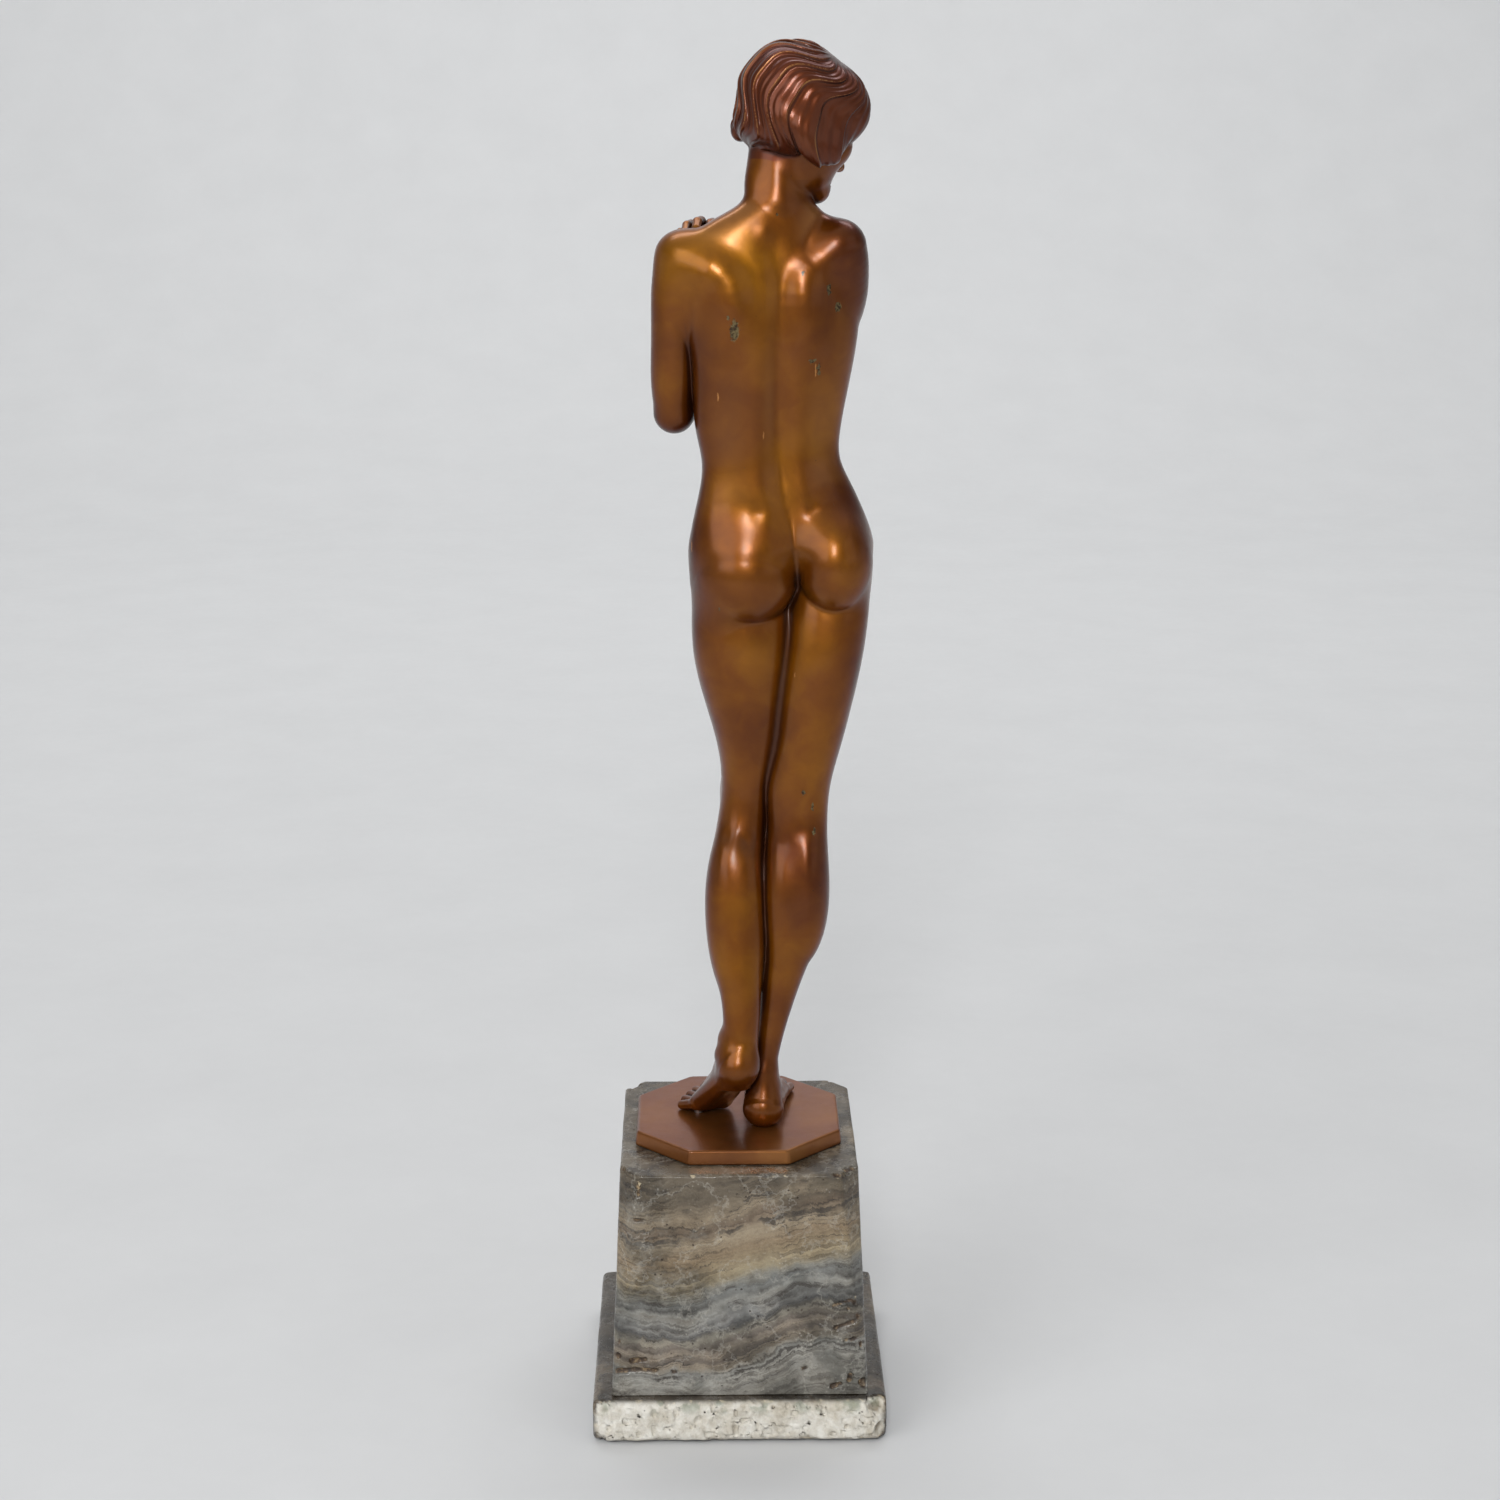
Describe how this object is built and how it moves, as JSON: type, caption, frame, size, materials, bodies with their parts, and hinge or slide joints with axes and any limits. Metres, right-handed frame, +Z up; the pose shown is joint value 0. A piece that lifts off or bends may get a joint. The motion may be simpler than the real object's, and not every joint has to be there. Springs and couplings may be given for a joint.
{
  "type": "bronze statuette",
  "caption": "Standing female figure in cast bronze with arms crossed, on an octagonal plate, tapered onyx column and onyx slab, felted underneath.",
  "frame": {"origin": "centre of the underside of the felt pad, on the surface that the statuette stands on", "axes": "+Z up, the figure faces -Y, and its left side is at +X"},
  "size_m": [0.095, 0.102, 0.4402],
  "materials": {
    "bronze": "satin brown patina, rubbed golden on the high points",
    "bronze_pin": "bare cast bronze rod",
    "bronze_plate": "brown patina, paler on the edges",
    "onyx": "semi-polished, wavy grey, beige and slate bands",
    "onyx_slab": "polished top, pitted and worn sides",
    "steel": "plain turned steel",
    "felt": "dense wool felt"
  },
  "bodies": {
    "root": {"figure_body": "bronze", "head": "bronze", "right_arm": "bronze", "left_arm": "bronze", "neck_pin": "bronze_pin", "left_shoulder_pin": "bronze_pin", "right_shoulder_pin": "bronze_pin", "plinth_plate": "bronze_plate", "foot_stud_right": "steel", "foot_stud_left": "steel", "foot_nut_right": "steel", "foot_nut_left": "steel", "onyx_column": "onyx", "onyx_slab": "onyx_slab", "tie_rod": "steel", "washer": "steel", "spring_washer": "steel", "rod_nut": "steel", "felt_pad": "felt"}
  },
  "joints": []
}
